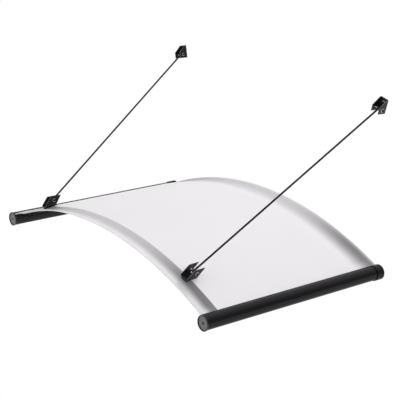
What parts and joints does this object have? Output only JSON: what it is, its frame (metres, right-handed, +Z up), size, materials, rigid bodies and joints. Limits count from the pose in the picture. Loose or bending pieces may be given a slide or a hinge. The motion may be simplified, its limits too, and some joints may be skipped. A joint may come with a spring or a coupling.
{
  "type": "acrylic door canopy",
  "caption": "Arched acrylic canopy for over a door: a satin sheet between two black side tubes, held up by tie rods with folded brackets.",
  "frame": {"origin": "on the wall plane, midway between the two side tubes and level with their axes", "axes": "+X along the wall to the right as seen from the front, +Y into the wall, +Z up; the canopy reaches out to -Y"},
  "size_m": [1.506, 0.969, 0.7849],
  "materials": {
    "opal_acrylic": "satin, slightly translucent",
    "tube_finish": "black anodised, satin gloss",
    "bracket_coating": "black powder coat",
    "moulded_black": "moulded, fine texture",
    "black_rubber": "matte",
    "zinc": "zinc plated",
    "blackened_steel": "black oxide, oiled"
  },
  "bodies": {
    "canopy": {"acrylic_sheet": "opal_acrylic", "left_side_tube": "tube_finish", "left_slot_seal": "black_rubber", "left_front_cap": "moulded_black", "left_cap_insert": "zinc", "left_cap_screw": "blackened_steel", "left_wall_socket": "tube_finish", "left_socket_wall_screw": "zinc", "left_insert_screw": "blackened_steel", "left_socket_screw": "blackened_steel", "left_canopy_bracket": "bracket_coating", "left_bracket_pad": "black_rubber", "left_bracket_bolt": "blackened_steel", "left_seal_washer": "black_rubber", "left_bolt_nut": "zinc", "left_lower_pin": "zinc", "left_lower_pin_nut": "zinc", "right_side_tube": "tube_finish", "right_slot_seal": "black_rubber", "right_front_cap": "moulded_black", "right_cap_insert": "zinc", "right_cap_screw": "blackened_steel", "right_wall_socket": "tube_finish", "right_socket_wall_screw": "zinc", "right_insert_screw": "blackened_steel", "right_socket_screw": "blackened_steel", "right_canopy_bracket": "bracket_coating", "right_bracket_pad": "black_rubber", "right_bracket_bolt": "blackened_steel", "right_seal_washer": "black_rubber", "right_bolt_nut": "zinc", "right_lower_pin": "zinc", "right_lower_pin_nut": "zinc"},
    "left_rod": {"left_tie_rod": "bracket_coating"},
    "right_rod": {"right_tie_rod": "bracket_coating"},
    "left_wall_fixing": {"left_wall_bracket": "bracket_coating", "left_upper_pin": "zinc", "left_upper_pin_nut": "zinc", "left_wall_washer": "zinc", "left_wall_bracket_screw": "blackened_steel"},
    "right_wall_fixing": {"right_wall_bracket": "bracket_coating", "right_upper_pin": "zinc", "right_upper_pin_nut": "zinc", "right_wall_washer": "zinc", "right_wall_bracket_screw": "blackened_steel"}
  },
  "joints": [
    {"name": "left_rod_lift", "type": "hinge", "parent": "canopy", "child": "left_rod", "pos_m": [-0.52835, -0.851, 0.12621], "axis": [0.9499, -0.0554, 0.3075], "range_deg": [-30, 100]},
    {"name": "right_rod_lift", "type": "hinge", "parent": "canopy", "child": "right_rod", "pos_m": [0.52835, -0.851, 0.12621], "axis": [0.9499, 0.0554, -0.3075], "range_deg": [-30, 100]},
    {"name": "left_bracket_tilt", "type": "hinge", "parent": "left_rod", "child": "left_wall_fixing", "pos_m": [-0.6664, -0.0245, 0.7015], "axis": [0.9724, 0, 0.2333], "range_deg": [-50, 90]},
    {"name": "right_bracket_tilt", "type": "hinge", "parent": "right_rod", "child": "right_wall_fixing", "pos_m": [0.6664, -0.0245, 0.7015], "axis": [0.9724, 0, -0.2333], "range_deg": [-50, 90]}
  ]
}
